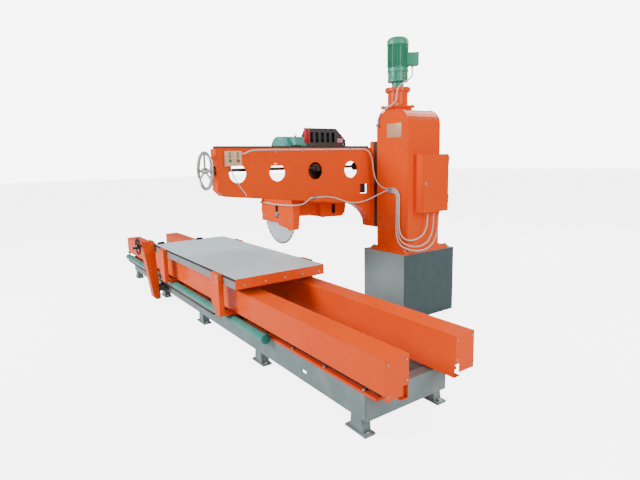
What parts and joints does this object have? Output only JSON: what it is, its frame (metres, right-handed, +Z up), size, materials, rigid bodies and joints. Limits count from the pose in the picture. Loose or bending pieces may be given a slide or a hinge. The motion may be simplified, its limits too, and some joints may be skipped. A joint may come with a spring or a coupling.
{
  "type": "slab saw",
  "caption": "Stone slab saw: a rolling slotted table on long covered rails passes under a circular blade carried on a lifting cross arm from a column.",
  "frame": {"origin": "on the floor, at the centre of the rectangle of the bed's four corner anchor bolts", "axes": "+X along the bed, +Y from the bed towards the column, +Z up"},
  "size_m": [5.8, 2.82, 2.915],
  "materials": {
    "frame_paint": "satin blue-grey paint",
    "orange_paint": "glossy orange paint",
    "dark_steel": "oiled dark steel",
    "teal_paint": "glossy teal paint",
    "plinth_concrete": "rough grey cast block",
    "table_steel": "ground steel",
    "grey_paint": "satin grey paint",
    "bright_steel": "turned steel",
    "blade_steel": "ground steel core",
    "black_iron": "black cast iron",
    "guard_grey": "dark grey paint",
    "motor_green": "green enamel",
    "motor_teal": "teal enamel",
    "belt_rubber": "matte black rubber",
    "white_cable": "white sheath",
    "cream_plastic": "cream plastic",
    "red_plastic": "red plastic",
    "green_plastic": "green plastic"
  },
  "bodies": {
    "root": {"bed_side_channels": "frame_paint", "bed_cross_beams": "frame_paint", "bed_feet": "frame_paint", "rail_bases": "orange_paint", "rails": "dark_steel", "rail_covers": "orange_paint", "rack_tube": "teal_paint", "traverse_rack": "dark_steel", "plinth": "plinth_concrete", "column_shell": "orange_paint", "column_guides": "dark_steel", "lift_bearings": "dark_steel", "lift_neck": "orange_paint", "lift_gearbox": "motor_green", "lift_motor": "motor_green", "cabinet_box": "orange_paint", "column_clips": "grey_paint", "cabinet_cable_1": "white_cable", "cabinet_cable_2": "white_cable", "cabinet_cable_3": "white_cable", "lift_motor_cable": "white_cable"},
    "table": {"table_frame": "grey_paint", "table_planks": "table_steel", "table_end_plates": "orange_paint", "table_legs": "orange_paint", "drive_guard": "orange_paint", "drive_bracket": "dark_steel"},
    "near_wheels": {"near_wheels": "dark_steel"},
    "far_wheels": {"far_wheels": "dark_steel"},
    "drive_pinion": {"drive_pinion": "dark_steel"},
    "traverse_handwheel": {"traverse_handwheel": "black_iron"},
    "arm": {"saddle_plate": "dark_steel", "arm_flange_plate": "orange_paint", "arm_beam": "orange_paint", "arm_rails": "dark_steel", "screw_bearings": "dark_steel", "button_station": "cream_plastic", "station_cable": "white_cable", "arm_hose": "white_cable", "arm_clip": "grey_paint"},
    "cross_screw": {"cross_screw": "dark_steel", "cross_handwheel": "bright_steel"},
    "carriage": {"carriage_plate": "dark_steel", "head_frame": "orange_paint", "spindle_box": "orange_paint", "blade_guard": "orange_paint", "lower_belt_guard": "orange_paint", "upper_belt_guard": "guard_grey", "main_motor": "motor_teal", "drive_belts": "belt_rubber", "guard_hose": "white_cable"},
    "blade": {"blade": "blade_steel", "spindle_shaft": "bright_steel", "driven_pulley": "black_iron"},
    "motor_rotor": {"motor_pulley": "black_iron"},
    "lift_screw": {"lift_screw": "bright_steel"},
    "cabinet_door": {"cabinet_door": "orange_paint"},
    "isolator_knob": {"isolator_knob": "red_plastic"},
    "start_button": {"start_button": "green_plastic"},
    "stop_button": {"stop_button": "red_plastic"}
  },
  "joints": [
    {"name": "table_slide", "type": "slide", "parent": "root", "child": "table", "axis": [1, 0, 0], "range_m": [-1.57, 1.57]},
    {"name": "near_wheel_roll", "type": "hinge", "parent": "table", "child": "near_wheels", "pos_m": [0.85, 0, 0.4103], "axis": [0, 1, 0], "range_deg": [-1300, 1300]},
    {"name": "far_wheel_roll", "type": "hinge", "parent": "table", "child": "far_wheels", "pos_m": [-0.7, 0, 0.4103], "axis": [0, 1, 0], "range_deg": [-1300, 1300]},
    {"name": "pinion_turn", "type": "hinge", "parent": "table", "child": "drive_pinion", "pos_m": [-1.125, -0.412, 0.2022], "axis": [0, 1, 0], "range_deg": [-2400, 2400]},
    {"name": "traverse_handwheel_turn", "type": "hinge", "parent": "table", "child": "traverse_handwheel", "pos_m": [-1.125, -0.672, 0.715], "axis": [0, 1, 0], "range_deg": [-2400, 2400]},
    {"name": "arm_lift", "type": "slide", "parent": "root", "child": "arm", "axis": [0, 0, 1], "range_m": [-0.07, 0.25], "deforming": ["station_cable", "arm_hose"]},
    {"name": "lift_screw_turn", "type": "hinge", "parent": "root", "child": "lift_screw", "pos_m": [0.99, 1.57, 1.5], "axis": [0, 0, 1], "range_deg": [-1300, 4550]},
    {"name": "carriage_cross", "type": "slide", "parent": "arm", "child": "carriage", "axis": [0, 1, 0], "range_m": [-0.8, 0.08], "deforming": ["guard_hose"]},
    {"name": "cross_screw_turn", "type": "hinge", "parent": "arm", "child": "cross_screw", "pos_m": [0.697, 0, 1.616], "axis": [0, 1, 0], "range_deg": [-14500, 1500]},
    {"name": "blade_spin", "type": "hinge", "parent": "carriage", "child": "blade", "pos_m": [0.305, 0.483, 1.126], "axis": [0, 1, 0], "continuous": true},
    {"name": "motor_spin", "type": "hinge", "parent": "carriage", "child": "motor_rotor", "pos_m": [0.305, 1.122, 1.805], "axis": [0, 1, 0], "continuous": true},
    {"name": "cabinet_door_swing", "type": "hinge", "parent": "root", "child": "cabinet_door", "pos_m": [1.458, 1.843, 1.432], "axis": [0, 0, 1], "range_deg": [0, 110]},
    {"name": "isolator_turn", "type": "hinge", "parent": "root", "child": "isolator_knob", "pos_m": [1.385, 1.845, 1.52], "axis": [0, 1, 0], "range_deg": [0, 90]},
    {"name": "start_press", "type": "slide", "parent": "arm", "child": "start_button", "axis": [-1, 0, 0], "range_m": [0, 0.004], "stiffness_N_per_m": 600},
    {"name": "stop_press", "type": "slide", "parent": "arm", "child": "stop_button", "axis": [-1, 0, 0], "range_m": [0, 0.004], "stiffness_N_per_m": 600}
  ],
  "couplings": [
    {"joint": "near_wheel_roll", "follows": "table_slide", "rad_per_m": 14.286},
    {"joint": "far_wheel_roll", "follows": "table_slide", "rad_per_m": 14.286},
    {"joint": "pinion_turn", "follows": "table_slide", "rad_per_m": -26.18},
    {"joint": "traverse_handwheel_turn", "follows": "table_slide", "rad_per_m": -26.18},
    {"joint": "lift_screw_turn", "follows": "arm_lift", "rad_per_m": 314.16},
    {"joint": "cross_screw_turn", "follows": "carriage_cross", "rad_per_m": 314.16},
    {"joint": "motor_spin", "follows": "blade_spin", "ratio": 0.83333}
  ]
}
